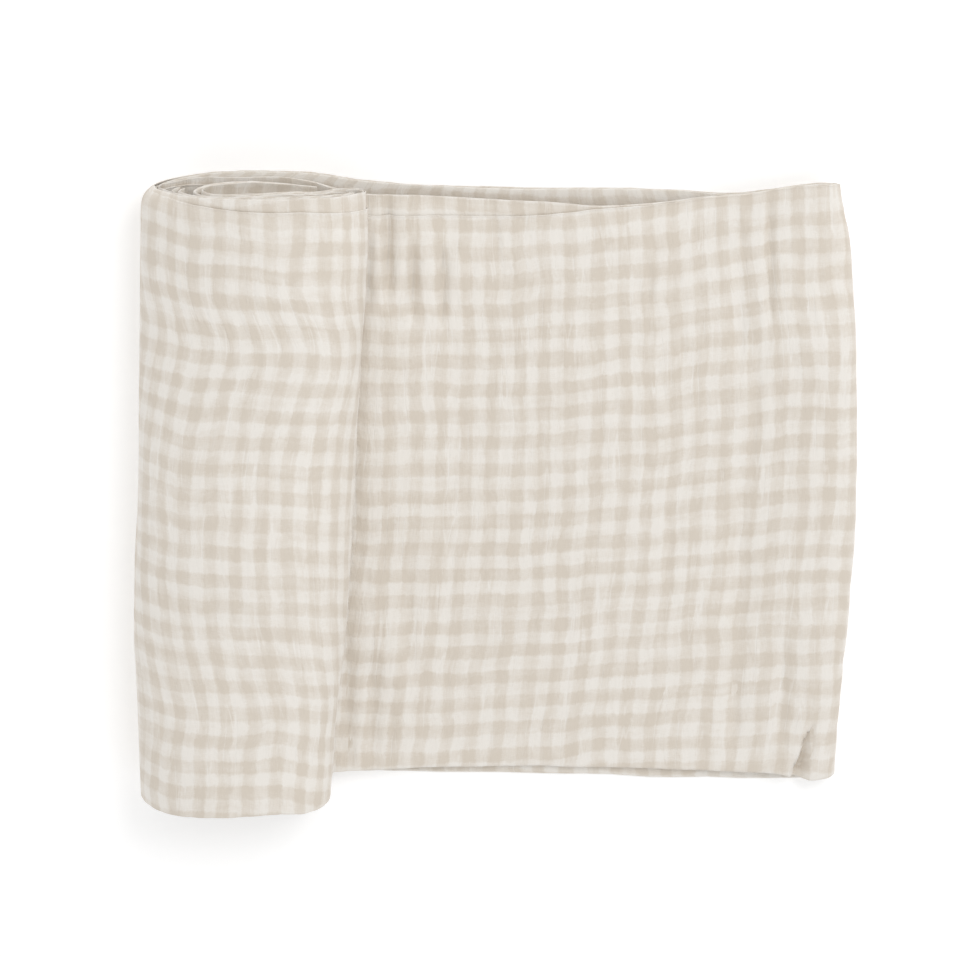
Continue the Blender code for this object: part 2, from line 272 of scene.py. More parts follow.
bends = LOWER_RUN + END_FOLD + UPPER_RUN
table = np.array([bend[1:] for bend in bends])
fine_line, fine_rows = even_line(table, FINE_STEP)
wanted_steps = np.interp(fine_rows, range(len(bends)), [LINE_STEPS[bend.place] for bend in bends])
lines_so_far = np.cumsum(FINE_STEP / wanted_steps)
line_places = np.interp(
    np.arange(lines_so_far[0], lines_so_far[-1]), lines_so_far, np.arange(len(fine_line))
)
line = np.column_stack([np.interp(line_places, range(len(fine_line)), c) for c in fine_line.T])
line_rows = np.interp(line_places, range(len(fine_line)), fine_rows)
band_length = len(fine_line) * FINE_STEP
print(f"the band's middle line is {band_length:.0f} mm long, with {len(line)} lines")

# %% [markdown]
# ## The four plies
#
# Across the band, the cloth goes back and forth. It starts at the outer ply's hem on the open
# side, runs to the folded side, turns, comes back as the innermost ply, turns again, and so on to
# the second hem. The columns of the mesh follow that path, so the whole blanket is one unbroken
# sheet. Each column has a share of the way across, a distance from the band's middle, and the
# place on the cloth where it lies.
#
# A hem is the cloth turned under itself. It makes the edge thick and round, which is how a cut
# edge of cloth is told from paper.

# %% Columns across the band
OUTER = 0.98  # millimetres from the band's middle to the outer and the innermost ply
INNER = 0.33  # and to the two plies between them
FOLD_OUT = 1.5  # how far a long fold rounds out
FOLD_CLOTH = 4.0  # the cloth that a long fold takes up
INNER_FOLD_OUT = 0.7  # how far the fold at the open side rounds out
SPINE = 1.6  # the middle plies' fold lies this far inside the outer one
SPINE_OUT = 0.9  # and rounds out this far
QUARTER = 300.0  # the cloth's width in the outer ply
HEM = 5.5  # the width that is turned under
HEM_THICK = 0.36
# Under a hem: how far back from its edge, and how far down as a share of its thickness
HEM_UNDER = ((0, 0.4), (0.1, 0.75), (0.5, 1.0), (1.6, 1.05), (HEM * 0.6, 1.0), (HEM, 1.0))
HEM_UNDER_LIFT = 0.1  # and so much outwards again, to lie round its ply
# On top of it: how far back, and how far it stands above its ply
HEM_TOP = (0.12, 0.45)
HEM_TOP_LIFT = 0.14
Column = namedtuple("Column", "ply share edge past offset cloth")
OPEN_HEM, OPEN_EDGE, OPEN_FOLD = 0, 1, 2  # the edges that a column's share is measured to


def shares(count, crowding):
    """Shares of the way from the open side to the folded one, crowded at the open side."""
    return [(step / count) ** crowding for step in range(count + 1)]


columns = []
# The outer ply, from its turned-under hem to the long fold
for back, down in HEM_UNDER[::-1]:
    offset = OUTER - HEM_THICK * down + HEM_UNDER_LIFT
    columns.append(Column("outer", 1, OPEN_HEM, -back, offset, -back))
for back in HEM_TOP:
    columns.append(Column("outer", 1, OPEN_HEM, -back, OUTER + HEM_TOP_LIFT, back))
for gone in shares(108, 1.3)[1:]:
    columns.append(Column("outer", 1 - gone, OPEN_HEM, 0, OUTER, gone * QUARTER))
# The long fold round to the innermost ply
for turn_angle in (60, 30, 0, -30, -60):
    across = math.radians(turn_angle)
    past = -FOLD_OUT * math.cos(across)
    cloth = QUARTER + OUTER * math.radians(90 - turn_angle)
    columns.append(Column("outer", 0, OPEN_FOLD, past, OUTER * math.sin(across), cloth))
for gone in shares(20, 1.6)[::-1]:
    cloth = 2 * QUARTER - gone * (QUARTER - FOLD_CLOTH)
    columns.append(Column("innermost", 1 - gone, OPEN_FOLD, 0, -OUTER, cloth))
# Its fold at the open side, round to the third ply
for turn_angle in (-55, 0, 55):
    across = math.radians(turn_angle)
    offset = -(OUTER + INNER) / 2 + (OUTER - INNER) / 2 * math.sin(across)
    past = INNER_FOLD_OUT * math.cos(across)
    columns.append(Column("innermost", 1, OPEN_FOLD, past, offset, 2 * QUARTER))
for gone in shares(10, 1.4):
    cloth = 2 * QUARTER + gone * QUARTER
    columns.append(Column("third", 1 - gone, OPEN_FOLD, SPINE * gone, -INNER, cloth))
for turn_angle in (-45, 0, 45):
    across = math.radians(turn_angle)
    past = SPINE - SPINE_OUT * math.cos(across)
    columns.append(Column("third", 0, OPEN_FOLD, past, INNER * math.sin(across), 3 * QUARTER))
# The second ply, out to its own hem
for gone in shares(20, 1.8)[::-1][:-1]:
    cloth = 4 * QUARTER - gone * QUARTER
    columns.append(Column("second", 1 - gone, OPEN_EDGE, SPINE * gone, INNER, cloth))
for back in HEM_TOP[::-1]:
    cloth = 4 * QUARTER - back
    columns.append(Column("second", 1, OPEN_EDGE, -back, INNER + HEM_TOP_LIFT, cloth))
for back, down in HEM_UNDER:
    offset = INNER - HEM_THICK * down + HEM_UNDER_LIFT
    columns.append(Column("second", 1, OPEN_EDGE, -back, offset, 4 * QUARTER + back))

is_outer = np.array([column.ply == "outer" for column in columns])
share = np.array([column.share for column in columns])
edge_kind = np.array([column.edge for column in columns])
past_edge = np.array([column.past for column in columns])
offset = np.array([column.offset for column in columns])
cloth_across = np.array([column.cloth for column in columns])
faces_planned = (len(line) - 1) * (len(columns) - 1)
print(f"{len(columns)} columns across four plies, so {faces_planned} faces")

# %% [markdown]
# ## Where each point lies
#
# The roll is wound tighter towards its folded side, and the end fold bows out in the middle. Two
# short tables give those outlines, and each point of the sheet is drawn in between them. A third
# one says where the plies' open edges lean or hang in, which rounds the roll's left shoulder.
#
# Nothing in soft cloth is straight, so smooth noise bends the edges, parts the plies a little and
# sets the crinkles. The noise is a plain gradient noise with fixed seeds, so every run of the
# script gives the same blanket.
#
# The turns and plies lie so close that the sheet still crosses itself in places, mostly by the open
# edges at the roll's left side, and in the pocket at the end fold.

# %% Outlines and noise
RollSide = namedtuple("RollSide", "y left right")
ROLL_SIDES = (
    RollSide(-152.0, -170.2, -78.5),
    RollSide(-142.0, -170.6, -77.3),
    RollSide(-111.0, -170.8, -75.0),
    RollSide(-71.0, -172.0, -70.6),
    RollSide(-43.0, -171.1, -68.4),
    RollSide(0.0, -168.6, -65.8),
    RollSide(60.0, -167.0, -62.4),
    RollSide(110.0, -165.8, -59.0),
    RollSide(136.0, -164.9, -58.2),
    RollSide(144.0, -164.4, -58.4),
    RollSide(152.0, -163.6, -58.8),
)
FoldSide = namedtuple("FoldSide", "y right")
FOLD_SIDES = (
    FoldSide(-152.0, 167.4),
    FoldSide(-110.0, 169.2),
    FoldSide(-68.0, 172.3),
    FoldSide(-20.0, 174.8),
    FoldSide(30.0, 174.6),
    FoldSide(80.0, 172.6),
    FoldSide(120.0, 169.0),
    FoldSide(152.0, 162.8),
)
ROLL_LEFT, ROLL_RIGHT = -171.0, -61.0
TAIL_EASE = 120.0
FOLD_END = 174.0
FOLD_EASE = 110.0

# At the roll's left shoulder, rows 15 to 20 of the bends, all plies lean in at their open edge, and
# the inner ones hang further in. In the two flaps the inner plies hang in alone. These are the
# distances at rows of the bends, and the share of the second one that each ply takes.
Shoulder = namedtuple("Shoulder", "row lean_in hang_in")
SHOULDER = (
    Shoulder(0, 0.0, 0.0),
    Shoulder(1, 0.0, 1.0),
    Shoulder(2, 0.0, 3.0),
    Shoulder(3, 0.0, 4.0),
    Shoulder(4, 0.0, 2.0),
    Shoulder(5, 0.0, 0.5),
    Shoulder(6, 0.0, 0.0),
    Shoulder(13, 0.0, 0.0),
    Shoulder(15, 0.0, 0.6),
    Shoulder(16, 1.0, 0.9),
    Shoulder(17, 4.0, 1.0),
    Shoulder(18, 5.5, 1.0),
    Shoulder(19, 3.5, 0.8),
    Shoulder(20, 1.0, 0.3),
    Shoulder(21, 0.0, 0.0),
    Shoulder(64, 0.0, 0.0),
    Shoulder(65, 0.0, 1.0),
    Shoulder(66, 0.0, 2.5),
    Shoulder(67, 0.0, 3.0),
    Shoulder(68, 0.0, 2.0),
)
LEAN_REACH = 2.6  # how far in from the edge the lean has faded
PLY_HANGS = {"outer": 0.0, "second": 0.3, "third": 0.86, "innermost": 1.0}
HANG_REACH = 34.0  # and the plies have closed again
# Round this row, and fading over so many, the roll's own weight presses the plies together
PRESSED_ROW, PRESSED_ROWS = 10.5, 2.0
HEM_PRESS = 0.25  # and the outer ply's hem this far in


def ease(value):
    """0 up to 0, 1 from 1, and a soft S between."""
    value = np.clip(value, 0, 1)
    return value * value * (3 - 2 * value)


def at_y(rows, y):
    """A table's other columns at each y, on a smooth curve through its rows."""
    numbers = np.array(rows)
    places = np.interp(y.ravel(), numbers[:, 0], np.arange(len(rows)))
    found = through_rows(numbers[:, 1:], places)
    return [column.reshape(y.shape) for column in found.T]


def narrowed(x, y):
    """x after the roll is drawn in between its sides and the end fold is bowed, at this y."""
    left, right = at_y(ROLL_SIDES, y)
    (reach,) = at_y(FOLD_SIDES, y)
    in_roll = left + (x - ROLL_LEFT) * (right - left) / (ROLL_RIGHT - ROLL_LEFT)
    fades = 1 - ease((x - ROLL_RIGHT) / TAIL_EASE)
    bowed = ease((x - FOLD_END + FOLD_EASE) / FOLD_EASE)
    on_tail = x + (right - ROLL_RIGHT) * fades + (reach - FOLD_END) * bowed
    return np.where(x <= ROLL_RIGHT, in_roll, on_tail)


def noise(along, across, size_along, size_across, seed):
    """Smooth noise, about -1 to 1, whose lumps are this long along and across the band."""
    angles = np.random.default_rng(seed).random((64, 64)) * 2 * math.pi
    a, b = along / size_along, across / size_across
    i, j = np.floor(a).astype(int), np.floor(b).astype(int)
    a, b = a - i, b - j

    def corner(di, dj):
        angle = angles[(i + di) % 64, (j + dj) % 64]
        return np.cos(angle) * (a - di) + np.sin(angle) * (b - dj)

    fade_a, fade_b = a**3 * (a * (6 * a - 15) + 10), b**3 * (b * (6 * b - 15) + 10)
    near = corner(0, 0) * (1 - fade_a) + corner(1, 0) * fade_a
    far = corner(0, 1) * (1 - fade_a) + corner(1, 1) * fade_a
    return (near * (1 - fade_b) + far * fade_b) * 1.5


# %% The sheet's smooth shape
FOLD_BACK = 0.9  # the inner plies' fold lies this far behind the open edge
PLY_ON_TABLE = 1.3  # the height of the band's middle where it lies on the table
CLEAR_OF_TABLE = 5.0  # and this much higher, it is clear of it
PARTING = 0.22  # how far the plies part at the open edges
PARTING_REACH = 9.0

mid_x, height_open, height_folded, open_edge, hem_back, folded_edge = line.T
run = np.gradient(mid_x)
rise = np.gradient((height_open + height_folded) / 2)
length = np.hypot(run, rise)
outward_x, outward_z = rise / length, -run / length
arc = np.concatenate(([0], np.cumsum(np.hypot(np.diff(mid_x), np.diff(height_open)))))



def wander(amount, lump, seed):
    """How far an edge wanders along the band, up to this amount, in lumps of this length."""
    return amount * noise(arc, 0 * arc, lump, 1, seed=seed)


hem_wander = wander(0.5, 38, seed=3) + wander(0.25, 11, seed=4)
edge_wander = wander(0.6, 45, seed=5) + wander(0.3, 13, seed=6)
fold_wander = wander(0.6, 52, seed=7) - FOLD_BACK
folded_edge = folded_edge + wander(0.7, 30, seed=9) + wander(0.3, 12, seed=10)
edges = np.stack(
    (open_edge - hem_back + hem_wander, open_edge + edge_wander, open_edge + fold_wander)
)
reach_to = edges[edge_kind].T
across_y = folded_edge[:, None] * (1 - share) + reach_to * share + past_edge
width = (open_edge - folded_edge)[:, None]
height_share = ease((across_y - folded_edge[:, None]) / width)
heights = height_folded[:, None] + (height_open - height_folded)[:, None] * height_share

# The plies lean in at the roll's left shoulder, and there and in the flaps the inner ones hang in
shoulder_rows, lean_in, hang_in = np.array(SHOULDER).T
lean_in = np.interp(line_rows, shoulder_rows, lean_in)[:, None]
hang_in = np.interp(line_rows, shoulder_rows, hang_in)[:, None]
hang_in = hang_in * np.array([PLY_HANGS[column.ply] for column in columns])
inside = np.clip(reach_to - across_y, 0, None)
away = lean_in * np.exp(-inside / LEAN_REACH) + hang_in * np.exp(-((inside / HANG_REACH) ** 2))
away = away * (share > 0)
# Near the open edges the plies part a little, unevenly
off_table = np.clip((heights - PLY_ON_TABLE) / CLEAR_OF_TABLE, 0, 1)
parting = PARTING + wander(PARTING, 24, seed=8)
tight = np.exp(-(((line_rows - PRESSED_ROW) / PRESSED_ROWS) ** 2))
parting = parting * (1 - tight)
near_open = np.exp(-inside / PARTING_REACH) * (share > 0)
offsets = offset + np.sign(offset) * near_open * parting[:, None] * off_table - away
offsets = offsets - HEM_PRESS * tight[:, None] * near_open * is_outer
sheet_x = mid_x[:, None] + outward_x[:, None] * offsets
sheet_z = heights + outward_z[:, None] * offsets
sheet_y = across_y
sheet_x = narrowed(sheet_x, sheet_y)
print("the smooth sheet is ready, lowest at", round(float(sheet_z.min()), 2), "mm")

# %% [markdown]
# ## Where the pattern lies
#
# Each point gets its place on the cloth: how far along the band, and how far from the outer hem.
# The columns of the check lean a little, as the cloth was smoothed by hand, and two short tables
# say how much. A third one says how the rows bend.

# %% The cloth's own coordinates
Lean = namedtuple("Lean", "y aside")
TAIL_LEAN = (
    Lean(-152.0, -10.6),
    Lean(-139.0, -10.1),
    Lean(-122.0, -8.8),
    Lean(-95.0, -5.6),
    Lean(-68.0, -3.4),
    Lean(-41.0, -1.6),
    Lean(-14.0, 0.2),
    Lean(13.0, 1.3),
    Lean(40.0, 1.6),
    Lean(90.0, 1.2),
    Lean(152.0, 0.0),
)
ROLL_LEAN = (
    Lean(-152.0, 0.0),
    Lean(-120.0, 1.6),
    Lean(-103.0, 3.7),
    Lean(-77.0, -1.0),
    Lean(-51.0, -4.2),
    Lean(-24.0, -5.2),
    Lean(2.0, -4.6),
    Lean(28.0, -2.8),
    Lean(55.0, 2.6),
    Lean(81.0, 8.2),
    Lean(107.0, 1.2),
    Lean(134.0, 1.8),
    Lean(152.0, 1.5),
)
# The rows bend a little too: how far they are drawn towards the open side, in three places
RowShift = namedtuple("RowShift", "x at_open in_middle at_folded")
ROW_SHIFTS = (
    RowShift(-148.0, 0.0, 0.0, 3.5),
    RowShift(-125.0, 1.6, 2.0, 6.0),
    RowShift(-105.0, -0.6, 3.0, 5.8),
    RowShift(-84.0, -0.5, 1.5, 5.4),
    RowShift(-45.0, -1.4, -3.5, -6.0),
    RowShift(-12.0, -2.2, -3.6, -5.0),
    RowShift(25.0, -1.0, -1.6, 0.4),
    RowShift(65.0, -1.0, 0.6, 6.0),
    RowShift(104.0, 0.6, 1.8, 4.2),
    RowShift(135.0, 2.4, 2.8, 1.6),
    RowShift(160.0, 1.6, 1.6, 0.0),
)
OPEN_SIDE = 150.0
# Towards the right corners the columns are drawn to the left and to the right. The pull starts
# this far from the middle, and it is whole the second distance further on.
OPEN_CORNER_PULL, FOLDED_CORNER_PULL = 4.2, 3.2
PULL_X, PULL_X_EASE = 40.0, 110.0
PULL_Y, PULL_Y_EASE = 60.0, 60.0
# On the upper run of the tail, the cloth is gathered a little across the band near the roll
GATHER, GATHER_X, GATHER_REACH = 0.04, -20.0, 60.0
TAIL_COLUMN = 48.6  # a dark column of the check lies here on the tail, where it doesn't lean
CREST_COLUMN = -103.8  # and here on the crest
CHECK_ALONG = 12.42
CHECK_ACROSS = 13.7

SKIN_STARTS, SKIN_ENDS = 9, 20  # the rows of the bends between which the skin lies
LEAVING_ROWS = 9  # and so many rows further on, the tail's count has taken over
FAR = 1e3  # millimetres, further than anything here
upper_start = len(LOWER_RUN) + len(END_FOLD)
tail_line = int(np.argmin(np.abs(mid_x - TAIL_COLUMN) + FAR * (line_rows < upper_start)))
in_skin = (line_rows > SKIN_STARTS) & (line_rows < SKIN_ENDS)
crest_line = int(np.argmin(np.abs(mid_x - CREST_COLUMN) + FAR * ~in_skin))
steps_along = np.sqrt(
    np.diff(sheet_x, axis=0) ** 2 + np.diff(sheet_y, axis=0) ** 2 + np.diff(sheet_z, axis=0) ** 2
)
gone_along = np.concatenate((np.zeros((1, len(columns))), np.cumsum(steps_along, axis=0)))


def counted_from(line_index, column_x, leans):
    """Distance along the cloth from a dark column of the check, at every point of the sheet."""
    (lean,) = at_y(leans, sheet_y[line_index])
    off_column = sheet_x[line_index] - column_x - lean
    return gone_along - gone_along[line_index] - off_column


from_tail = counted_from(tail_line, TAIL_COLUMN, TAIL_LEAN)
from_crest = counted_from(crest_line, CREST_COLUMN, ROLL_LEAN)
between = np.mean(from_tail - from_crest)
from_crest += CHECK_ALONG * round(between / CHECK_ALONG)
leaving_roll = ease((line_rows - SKIN_ENDS) / LEAVING_ROWS)[:, None]
cloth_along = from_crest + (from_tail - from_crest) * leaving_roll
cloth_along += ease((sheet_x - PULL_X) / PULL_X_EASE) * np.where(
    sheet_y > 0,
    -OPEN_CORNER_PULL * ease((sheet_y - PULL_Y) / PULL_Y_EASE),
    FOLDED_CORNER_PULL * ease((-sheet_y - PULL_Y) / PULL_Y_EASE),
)
hem_to_fold = (edges[OPEN_HEM] - folded_edge)[:, None]
near_roll = np.exp(-(((mid_x - GATHER_X) / GATHER_REACH) ** 2))
gathered = 1 + GATHER * near_roll * (line_rows > upper_start)
fold_cloth = hem_to_fold * gathered[:, None]
cloth_v = np.where(cloth_across < QUARTER, cloth_across * fold_cloth / QUARTER, cloth_across)
between_folds = np.clip((cloth_across - QUARTER) / QUARTER, 0, 1)
cloth_v = np.where(
    cloth_across >= QUARTER, cloth_v + (fold_cloth - QUARTER) * (1 - between_folds), cloth_v
)
drawn = np.stack(at_y(ROW_SHIFTS, mid_x[:, None] * np.ones_like(sheet_y)), axis=-1)
down = np.clip((OPEN_SIDE - sheet_y) / (2 * OPEN_SIDE), 0, 1)
# The weights of a curve through the numbers at the open side, in the middle and at the folded side
curve_weights = np.stack(
    ((1 - down) * (1 - 2 * down), 4 * down * (1 - down), down * (2 * down - 1)), axis=-1
)
cloth_v = cloth_v + (drawn * curve_weights).sum(-1)
print("the pattern's two starts lie", round(float(between), 1), "mm apart along the cloth")

# %% [markdown]
# ## Creases and crinkles
#
# Double gauze is two thin layers tacked together, and it shrinks into soft crinkles when it is
# washed. They run mostly along the roll. In the mesh they are rounded puffs with narrow valleys,
# which is what the absolute value of smooth noise gives. The larger creases from the folding are
# listed one by one: each is a soft trough with a place, a length, a width and a depth.

# %% Creases placed one by one
Crease = namedtuple("Crease", "place x y lean length width depth")
CREASES = (
    Crease("in the valley, open side", -49.2, 117.5, 0.0, 44.0, 5.2, 5.4),
    Crease("beside it, close to the roll", -59.6, 107.0, 0.0, 34.0, 4.6, 4.2),
    Crease("beside it, on the right", -37.6, 100.0, 0.0, 36.0, 5.0, 4.8),
    Crease("in the valley, below the middle", -40.0, -64.0, 0.0, 60.0, 9.0, 1.8),
    Crease("beside the roll, folded side", -58.5, -116.0, 0.0, 60.0, 10.0, 3.4),
    Crease("close to the roll there", -70.0, -116.0, 0.0, 60.0, 9.0, 3.2),
    Crease("in the valley, folded side", -49.0, -125.0, 0.0, 44.0, 6.0, 1.2),
    Crease("left of the middle", -23.2, 98.5, 0.0, 34.0, 4.2, 4.6),
    Crease("short one by the hem", 1.5, 124.0, 0.0, 22.0, 3.2, 1.3),
    Crease("below it", 5.0, 102.0, 0.0, 22.0, 4.0, 0.9),
    Crease("short one in the middle", 10.0, 62.0, 0.0, 14.0, 3.2, 1.1),
    Crease("right of the middle", 74.0, 98.0, 0.0, 22.0, 3.6, 1.3),
    Crease("just left of that", 69.6, 94.0, 0.0, 14.0, 3.2, 0.9),
    Crease("where the end fold starts", 130.6, 110.0, -0.02, 54.0, 3.8, 3.0),
    Crease("further down there", 125.0, 38.0, 0.03, 64.0, 6.0, 1.3),
    Crease("left of the end fold, open side", 117.0, 94.0, 0.0, 66.0, 10.0, 2.2),
    Crease("long one before the end fold", 119.0, -36.0, 0.02, 110.0, 12.0, 2.4),
    Crease("near the lower edge", 117.5, -114.0, 0.0, 42.0, 8.0, 2.2),
    Crease("right of it, towards the pocket", 140.5, -104.0, 0.02, 56.0, 7.0, 1.8),
    Crease("short one, lower left", 36.0, -70.0, 0.0, 34.0, 4.0, 0.9),
    Crease("short one, lower middle", 84.0, -36.0, 0.0, 40.0, 4.5, 0.8),
)
CREASE_LOWEST = 4.0
CREASE_TALLEST = 24.0
CREASE_POWER = 1.5  # 2 is a round trough, and less is a sharper one
CREASE_LIMIT = 0.95  # the share of the cloth's height that a crease may press away
# The pocket at the corner of the end fold widens from its tip to the long folds
Pocket = namedtuple("Pocket", "tip_x tip_y foot_x foot_y half_width depth")
POCKET = Pocket(155.0, -122.0, 150.4, -146.0, 3.3, 10.5)
POCKET_POWER = 4.0
POCKET_TIP_WIDTH = 0.15  # its width at the tip, as a share of that at the foot
POCKET_PAST_FOOT = 1.2  # from here down it stays the same, counted in distances from tip to foot
POCKET_CLOSES, POCKET_CLOSING = 0.35, 0.14  # the share that it closes past its foot, and how soon
POCKET_TUCK = 0.42  # for each millimetre down, its floor lies this far under its left side


def crease_depth(x, y):
    """How deep the creases press the cloth in at these places."""
    depth = np.zeros_like(x)
    for crease in CREASES:
        off_line = (x - crease.x - crease.lean * (y - crease.y)) / (crease.width / 2)
        off_middle = (y - crease.y) / (crease.length / 2)
        depth += crease.depth * np.exp(-(np.abs(off_line) ** CREASE_POWER) - off_middle**4)
    return depth


def pocket_depth(x, y):
    """How deep the pocket is: nothing at its tip, and flat between steep sides lower down."""
    gone = np.clip((y - POCKET.tip_y) / (POCKET.foot_y - POCKET.tip_y), 0, POCKET_PAST_FOOT)
    middle = POCKET.tip_x + (POCKET.foot_x - POCKET.tip_x) * gone
    widened = POCKET_TIP_WIDTH + (1 - POCKET_TIP_WIDTH) * gone
    off_middle = (x - middle) / (POCKET.half_width * widened)
    closed = 1 - POCKET_CLOSES * ease((gone - 1) / POCKET_CLOSING)
    return POCKET.depth * np.sqrt(gone) * closed * np.exp(-np.abs(off_middle) ** POCKET_POWER)


on_tail = (sheet_z > CREASE_LOWEST) & (sheet_z < CREASE_TALLEST) & (mid_x[:, None] > ROLL_RIGHT)
pocket = pocket_depth(sheet_x, sheet_y)
pressed = crease_depth(sheet_x, sheet_y) + pocket
pressed = pressed * ease((sheet_z - CREASE_LOWEST) / CREASE_LOWEST)
pressed = np.minimum(pressed, CREASE_LIMIT * np.clip(sheet_z - CREASE_LOWEST, 0, None))
sheet_z = sheet_z - np.where(on_tail, pressed, 0)
sheet_x = sheet_x - POCKET_TUCK * np.where(on_tail, np.minimum(pocket, pressed), 0)
print("creases press in by up to", round(float(np.where(on_tail, pressed, 0).max()), 2), "mm")

# %% Slow waves and crinkles
WAVE = 0.5
WAVE_CLEAR = 8.0  # below this height the cloth lies flat
Wave = namedtuple("Wave", "share y_size x_size")
WAVES = (Wave(1.0, 23, 31), Wave(0.6, 14, -40))
PUFF = 0.42  # the height of a crinkle's puff
FINE_PUFF = 0.16
# The noises of the crinkles: the size of their lumps along and across the cloth, and their seeds
Lumps = namedtuple("Lumps", "along across seed")
CRINKLE_BENDS = Lumps(30, 50, 11)
CRINKLES = Lumps(8.5, 34, 12)
FINE_CRINKLES = Lumps(4.2, 13, 13)
CRINKLE_PATCHES = Lumps(55, 70, 14)
CRINKLE_BENT = 3.5  # how far the crinkles bend aside
VALLEY_WIDTH = 0.2  # of the noise's height, so less is a narrower valley
USUAL_STRENGTH, STRENGTH_CHANGE = 0.65, 0.6
INNER_CRINKLE = 0.35  # the share of the crinkles that the inner plies have
NEAR_TABLE = 4.0  # below this height the underside is pressed smooth
CRINKLES_RISE = 4.0  # they are whole at a quarter of the height that is clear of the table
LOWEST = 0.05  # millimetres above the table

lifted = ease((sheet_z - WAVE_CLEAR) / WAVE_CLEAR)
uneven = sum(
    wave.share * np.sin(sheet_y / wave.y_size + mid_x[:, None] / wave.x_size) for wave in WAVES
)
sheet_z = sheet_z + WAVE * uneven * lifted

bent = cloth_along + CRINKLE_BENT * noise(cloth_along, cloth_v, *CRINKLE_BENDS)
valleys = np.abs(noise(bent, cloth_v, *CRINKLES))
puffs = 1 - np.exp(-((valleys / VALLEY_WIDTH) ** 2))
fine_puffs = noise(bent, cloth_v, *FINE_CRINKLES)
strength = USUAL_STRENGTH + STRENGTH_CHANGE * noise(cloth_along, cloth_v, *CRINKLE_PATCHES)
crinkle = PUFF * puffs * strength + FINE_PUFF * fine_puffs
faces_table = (outward_z < 0)[:, None] & (heights < NEAR_TABLE)
shown_share = np.where(is_outer, 1.0, INNER_CRINKLE) * np.where(faces_table, 0, 1)
turned_under = (cloth_across <= 0) | (cloth_across >= 4 * QUARTER)
shown_share = np.where(turned_under, 0, shown_share)
side = np.where(offset >= 0, 1.0, -1.0)
crinkle = crinkle * shown_share * np.clip(off_table * CRINKLES_RISE, 0, 1)
sheet_x = sheet_x + outward_x[:, None] * crinkle * side
sheet_z = sheet_z + outward_z[:, None] * crinkle * side
sheet_z = np.maximum(sheet_z, LOWEST)
print("crinkles stand up to", round(float(crinkle.max()), 2), "mm proud")

# %% [markdown]
# ## The mesh
#
# All the points are known, so the sheet is a plain grid: a line of the mesh for each place along
# the band, a column for each place across it, and a face between each four. The cloth's own
# coordinates go into a UV map, in metres, for the finish to read.

# %% The sheet as a mesh
points = np.stack((sheet_x, sheet_y, sheet_z), axis=-1).reshape(-1, 3)
points = (points + np.array(MIDDLE)) * MM
rows_count, columns_count = sheet_x.shape
first = np.arange(rows_count - 1)[:, None] * columns_count + np.arange(columns_count - 1)[None, :]
quads = np.stack((first, first + 1, first + columns_count + 1, first + columns_count), axis=-1)
quads = quads.reshape(-1, 4)

cloth_mesh = bpy.data.meshes.new("blanket cloth")
cloth_mesh.from_pydata(points.tolist(), [], quads.tolist())
cloth_uv = np.stack((cloth_along, cloth_v), axis=-1).reshape(-1, 2) * MM
uv_layer = cloth_mesh.uv_layers.new(name="cloth")
uv_layer.data.foreach_set("uv", cloth_uv[quads.ravel()].astype(np.float32).ravel())
cloth_mesh.polygons.foreach_set("use_smooth", np.ones(len(quads), bool))
cloth_mesh.update()
blanket = bpy.data.objects.new("blanket_cloth", cloth_mesh)
bpy.context.scene.collection.objects.link(blanket)
area = sum(face.area for face in cloth_mesh.polygons)
print(f"the sheet has {2 * len(quads)} triangles and {area:.2f} square metres of cloth")

# %% [markdown]
# ## The finish
#
# Gingham is woven from dyed and undyed yarn in equal stripes both ways. The gauze is thin, so the
# second layer's checks show through faintly, a little out of step, and that softens the pattern.
# All of it is drawn by shader nodes on the cloth's own coordinates.

# %% Helpers for shader nodes
def add_node(tree, kind, inputs=None, **settings):
    """A node with its settings, whose inputs are linked from sockets or set to plain values."""
    made = tree.nodes.new(kind)
    for name, value in settings.items():
        setattr(made, name, value)
    for name, value in (inputs or {}).items():
        if isinstance(value, bpy.types.NodeSocket):
            tree.links.new(value, made.inputs[name])
        else:
            made.inputs[name].default_value = value
    return made


def maths(tree, operation, first_value, second_value=0.0, clamp=False):
    inputs = {0: first_value, 1: second_value}
    return add_node(tree, "ShaderNodeMath", inputs, operation=operation, use_clamp=clamp).outputs[0]


def vector_maths(tree, operation, first_value, second_value):
    second_name = "Scale" if operation == "SCALE" else 1
    inputs = {0: first_value, second_name: second_value}
    return add_node(tree, "ShaderNodeVectorMath", inputs, operation=operation).outputs[0]


def colour_mix(tree, factor, first_colour, second_colour):
    """The first colour, turned into the second as the factor goes from 0 to 1."""
    mix = add_node(tree, "ShaderNodeMix", data_type="RGBA")
    sockets = [socket for socket in mix.inputs if socket.enabled]
    for socket, value in zip(sockets, (factor, first_colour, second_colour)):
        tree.links.new(value, socket)
    return next(socket for socket in mix.outputs if socket.enabled)


def new_group(name, inputs, outputs):
    """A shader node group with named sockets, and the sockets to use inside it."""
    tree = bpy.data.node_groups.new(name, "ShaderNodeTree")
    for socket_name, (kind, value) in inputs.items():
        socket = tree.interface.new_socket(socket_name, in_out="INPUT", socket_type=kind)
        if value is not None:
            socket.default_value = value
    for socket_name, kind in outputs.items():
        tree.interface.new_socket(socket_name, in_out="OUTPUT", socket_type=kind)
    given = tree.nodes.new("NodeGroupInput").outputs
    result = tree.nodes.new("NodeGroupOutput").inputs
    return tree, given, result


CHECK_SHARPNESS = 3.6


